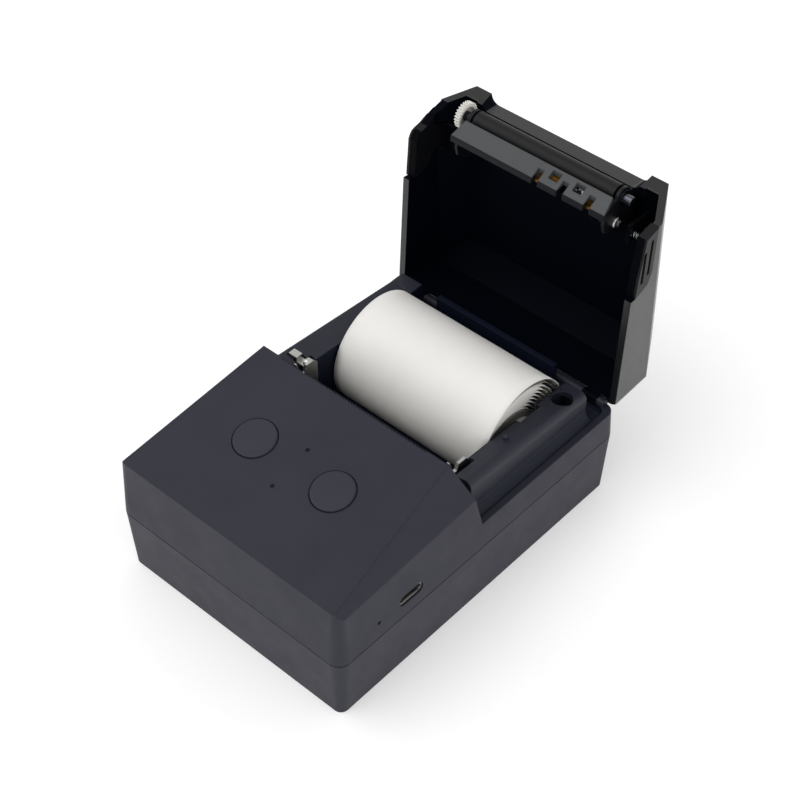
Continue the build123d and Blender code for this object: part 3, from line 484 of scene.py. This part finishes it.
LOOSE_TURNS = 10
TURN_GAP = 0.54 * MM
FIRST_TURN_GAP = 0.1 * MM
FIRST_TURN_SLACK = 0.3 * MM
SHEET_PITCH = 0.09 * MM
SHEET_THICKNESS = 0.07 * MM
ROLL_SKIN = 0.05 * MM
END_STEP = 0.35 * MM
END_INSET = 0.14 * MM
END_WAVE = 0.06 * MM
LEFT_END_INSET = 0.05 * MM
RIPPLE = 0.05 * MM
TOUCH_ANGLE = math.radians(205)
END_DIP = 0.12 * MM
END_HOLLOW = 1.2 * MM
# Painted shade on the paper: strongest on the turn just under the loose outer turn, then growing a
# little with each turn in.
UNDER_TURN = (0.97, 1.9)
UNDER_TURN_PAINTED_SHADE = 0.9
PAINTED_SHADE_PER_TURN = 0.03
SLACK_STARTS, SLACK_ENDS = 0.8, 1.05
STEP_STARTS, STEP_ENDS = 5.5 / 6, 6.5 / 6
STEPS_PER_TURN = 120
STRIP_COLUMNS = 20
END_WAVE_RATE = 5.1
RIPPLE_RATE_X, RIPPLE_RATE_AROUND, RIPPLE_RATE_TURNS = 60, 1.2, 0.3
END_RINGS = 26
END_DIP_RATE = 0.9
END_DIP_ROW = 3.1
TIGHT_ROLL_SIDES = 96


def turn_shift(t):
    """How far turn t's middle has moved towards the side where the turns touch."""
    return TURN_GAP * t + FIRST_TURN_GAP * min(t, 1.0)


def turn_painted_shade(t):
    """How much painted shade the paper gets t turns in: most just under the loose outer turn, where
    that turn shades it.
    """
    return UNDER_TURN_PAINTED_SHADE if UNDER_TURN[0] < t < UNDER_TURN[1] else PAINTED_SHADE_PER_TURN * t


def turn_row(bm, t, centre, radius, half):
    """One line of vertices across the strip, t turns in from its outer end."""
    angle = TOUCH_ANGLE - 2 * math.pi * t
    middle = centre + outward(TOUCH_ANGLE) * turn_shift(t)
    slack = FIRST_TURN_SLACK * ramp(t, SLACK_STARTS, SLACK_ENDS)
    reach = radius - turn_shift(t) - slack - SHEET_PITCH * t
    step = END_STEP * ramp(t, STEP_STARTS, STEP_ENDS)
    inset = END_INSET * t + step + END_WAVE * math.sin(END_WAVE_RATE * t)
    left = LEFT_END_INSET * t - half
    row = []
    for c in range(STRIP_COLUMNS + 1):
        x = left + (half - inset - left) * c / STRIP_COLUMNS
        place = (x * RIPPLE_RATE_X, angle * RIPPLE_RATE_AROUND, t * RIPPLE_RATE_TURNS)
        ripple = RIPPLE * noise.noise(Vector(place))
        row.append(bm.verts.new(middle + outward(angle) * (reach + ripple) + Vector((x, 0, 0))))
    return row


def wound_strip(centre, radius, half):
    """The roll's loose outer turns: one long strip, tight at the front and open at the top's back."""
    bm = bmesh.new()
    rows = []
    painted_shade = []
    for i in range(LOOSE_TURNS * STEPS_PER_TURN + 1):
        t = i / STEPS_PER_TURN
        rows.append(turn_row(bm, t, centre, radius, half))
        painted_shade += [turn_painted_shade(t)] * (STRIP_COLUMNS + 1)
    for a, b in zip(rows, rows[1:]):
        for c in range(STRIP_COLUMNS):
            bm.faces.new((a[c], a[c + 1], b[c + 1], b[c]))
    mesh = finished_mesh(bm, "paper_turns")
    # Stores each point's painted shade for the paper's finish to darken it.
    mesh.attributes.new("painted_shade", "FLOAT", "POINT").data.foreach_set("value", painted_shade)
    return mesh


def tight_roll(radius, centre, half, core_radius):
    """The tightly wound middle of the roll, with slightly uneven turns showing on its ends."""
    profile = []
    for i in range(END_RINGS + 1):
        share = i / END_RINGS
        unevenness = END_DIP * noise.noise(Vector((i * END_DIP_RATE, END_DIP_ROW, 0)))
        x = half + (unevenness - END_HOLLOW * (1 - share))
        profile.append((x, core_radius + (radius - core_radius) * share))
    outline = profile + [(-x, r) for x, r in reversed(profile)]
    bm = bmesh.new()
    loops = []
    for k in range(TIGHT_ROLL_SIDES):
        out = outward(2 * math.pi * k / TIGHT_ROLL_SIDES)
        loops.append([bm.verts.new(centre + out * r + Vector((x, 0, 0))) for x, r in outline])
    for k in range(TIGHT_ROLL_SIDES):
        a, b = loops[k], loops[(k + 1) % TIGHT_ROLL_SIDES]
        for i in range(len(outline)):
            j = (i + 1) % len(outline)
            bm.faces.new((a[i], b[i], b[j], a[j]))
    bmesh.ops.recalc_face_normals(bm, faces=bm.faces)
    return finished_mesh(bm, "paper_wound")


def build_roll():
    """Loose outer turns around a tightly wound middle, as big as the CAD roll they stand for."""
    low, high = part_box("paper_roll")
    core_low, core_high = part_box("paper_core")
    centre = (low + high) / 2
    radius = (high.z - low.z) / 2 - ROLL_SKIN
    half = (high.x - low.x) / 2
    strip = wound_strip(centre, radius, half)
    turns = new_piece("paper_turns", strip, "paper_roll", "paper", "paper", "paper_roll")
    solidify = turns.modifiers.new("thickness", "SOLIDIFY")
    solidify.thickness = SHEET_THICKNESS
    solidify.offset = 0
    shift = turn_shift(LOOSE_TURNS)
    inner_radius = radius - shift - FIRST_TURN_SLACK - SHEET_PITCH * LOOSE_TURNS
    inner_centre = centre + outward(TOUCH_ANGLE) * shift
    inner_half = half - END_INSET * LOOSE_TURNS - END_STEP
    core_radius = (core_high.z - core_low.z) / 2
    wound = tight_roll(inner_radius, inner_centre, inner_half, core_radius)
    new_piece("paper_wound", wound, "paper_roll", "paper_ends", "paper")


build_roll()


# ------------------------------------------------------------------ release springs


def release_coil(side):
    """A release button's spring, copied from its CAD node to ride on the lid."""
    node = side + "_release_spring"
    mesh = NODES[node].data.copy()
    mesh.transform(NODES[node].matrix_world)
    mesh.materials.clear()
    coil = new_piece(side + "_release_coil", mesh, "lid", "turned_steel", "steel", node)
    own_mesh(coil)


for side_name in ("left", "right"):
    release_coil(side_name)


# ------------------------------------------------------------------ studio

FLOOR_HALF = 3.0
FLOOR_GLOW = 0.28
HORIZON_STRENGTH = 1.08
ZENITH_STRENGTH = 0.62


def area_light(name, place, target, size, power):
    """A soft rectangular light that faces its target."""
    data = bpy.data.lights.new(name, "AREA")
    data.shape = "RECTANGLE"
    data.size, data.size_y = size
    data.energy = power
    lamp = bpy.data.objects.new(name, data)
    lamp.location = place
    lamp.rotation_euler = (Vector(target) - Vector(place)).to_track_quat("-Z", "Y").to_euler()
    bpy.context.scene.collection.objects.link(lamp)


def surround():
    """A white surround that dims towards the top, as under a studio ceiling."""
    world = bpy.data.worlds.new("studio")
    world.use_nodes = True
    tree = world.node_tree
    place = tree.nodes.new("ShaderNodeTexCoord")
    split = tree.nodes.new("ShaderNodeSeparateXYZ")
    fade = tree.nodes.new("ShaderNodeMapRange")
    tree.links.new(place.outputs["Generated"], split.inputs["Vector"])
    tree.links.new(split.outputs["Z"], fade.inputs["Value"])
    fade.inputs["From Min"].default_value = 0.0
    fade.inputs["From Max"].default_value = 1.0
    fade.inputs["To Min"].default_value = HORIZON_STRENGTH
    fade.inputs["To Max"].default_value = ZENITH_STRENGTH
    background = tree.nodes["Background"]
    background.inputs["Color"].default_value = (1, 1, 1, 1)
    tree.links.new(fade.outputs["Result"], background.inputs["Strength"])
    return world


def studio_floor():
    """Plain pale floor that glows a little, as on a lit table."""
    bm = bmesh.new()
    bmesh.ops.create_grid(bm, x_segments=8, y_segments=8, size=FLOOR_HALF)
    mesh = finished_mesh(bm, "studio_floor", smooth=False)
    floor = bpy.data.objects.new("studio_floor", mesh)
    bpy.context.scene.collection.objects.link(floor)
    paint = Finish("floor_paint")
    paint.colour(srgb(236, 236, 236), srgb(233, 233, 233), paint.noise(3, 2))
    paint.shader.inputs["Emission Color"].default_value = (1, 1, 1, 1)
    paint.set(roughness=0.85, glow=FLOOR_GLOW)
    mesh.materials.append(paint.material)


def studio():
    """The floor, a white surround and two large soft lights."""
    studio_floor()
    bpy.context.scene.world = surround()
    area_light("key", place=(-0.4, -0.5, 1.25), target=(0, 0, 0.03), size=(1.3, 1.0), power=6.4)
    area_light("side", place=(0.95, -0.2, 0.4), target=(0, 0, 0.04), size=(0.6, 0.4), power=0.8)


CAMERA_PLACE = (0.24583, -0.26098, 0.40434)
CAMERA_AZIMUTH = math.radians(42.049)
CAMERA_DOWNWARD = math.radians(44.707)
CAMERA_LENS = 82.08
SENSOR_WIDTH = 36.0
NEAREST_SEEN = 10 * MM


def camera():
    """The camera that took the photo, as near as its edges and corners tell."""
    data = bpy.data.cameras.new("camera")
    data.lens = CAMERA_LENS
    data.sensor_width = SENSOR_WIDTH
    data.clip_start = NEAREST_SEEN
    view = bpy.data.objects.new("camera", data)
    view.location = CAMERA_PLACE
    view.rotation_euler = (math.pi / 2 - CAMERA_DOWNWARD, 0, CAMERA_AZIMUTH)
    bpy.context.scene.collection.objects.link(view)
    bpy.context.scene.camera = view


studio()
camera()
bpy.context.scene.view_settings.view_transform = "Standard"
